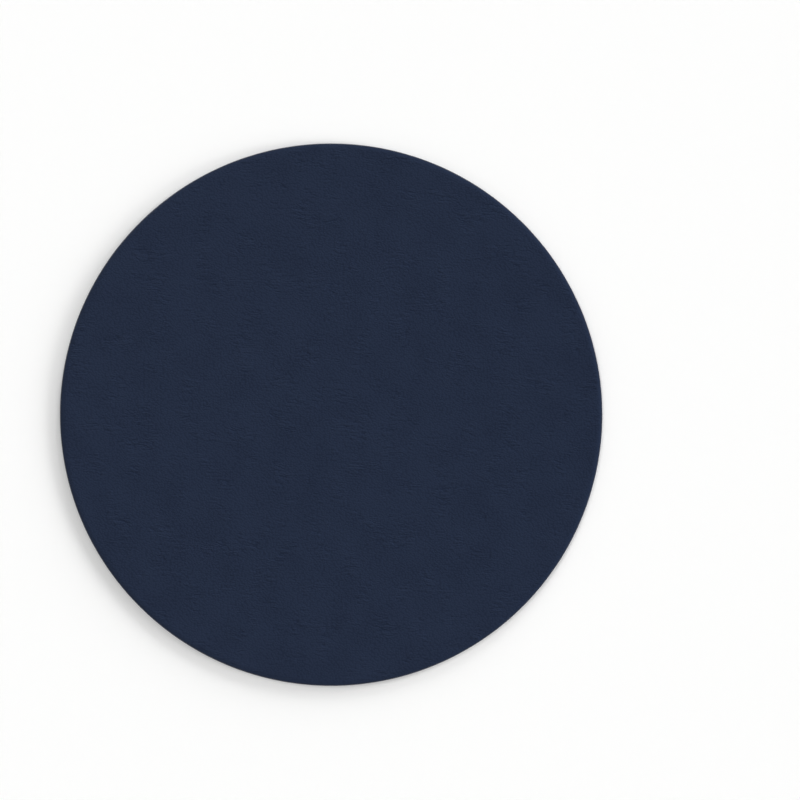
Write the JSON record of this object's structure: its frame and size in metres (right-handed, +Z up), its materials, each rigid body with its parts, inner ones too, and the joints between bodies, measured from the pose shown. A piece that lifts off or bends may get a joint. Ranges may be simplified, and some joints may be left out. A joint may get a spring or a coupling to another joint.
{
  "type": "mouse pad",
  "caption": "Round flat pad for a computer mouse: grained synthetic leather face bonded to a suede base, with a rolled, painted, unstitched rim.",
  "frame": {"origin": "centre of the underside, on the surface that the pad lies on", "axes": "+Z up through the working face along the pad's axis; +X to the user's right and +Y away from the user; the pad is the same all round"},
  "size_m": [0.24, 0.24, 0.002],
  "materials": {
    "grained_navy_skin": "fine grained, low sheen",
    "soft_foam": "matte",
    "woven_backing": "plain weave",
    "hot_melt_film": "satin",
    "charcoal_suede": "brushed nap",
    "navy_edge_paint": "satin"
  },
  "bodies": {
    "root": {"top_skin": "grained_navy_skin", "foam_layer": "soft_foam", "backing_cloth": "woven_backing", "adhesive_film": "hot_melt_film", "suede_base": "charcoal_suede", "edge_paint": "navy_edge_paint"}
  },
  "joints": []
}
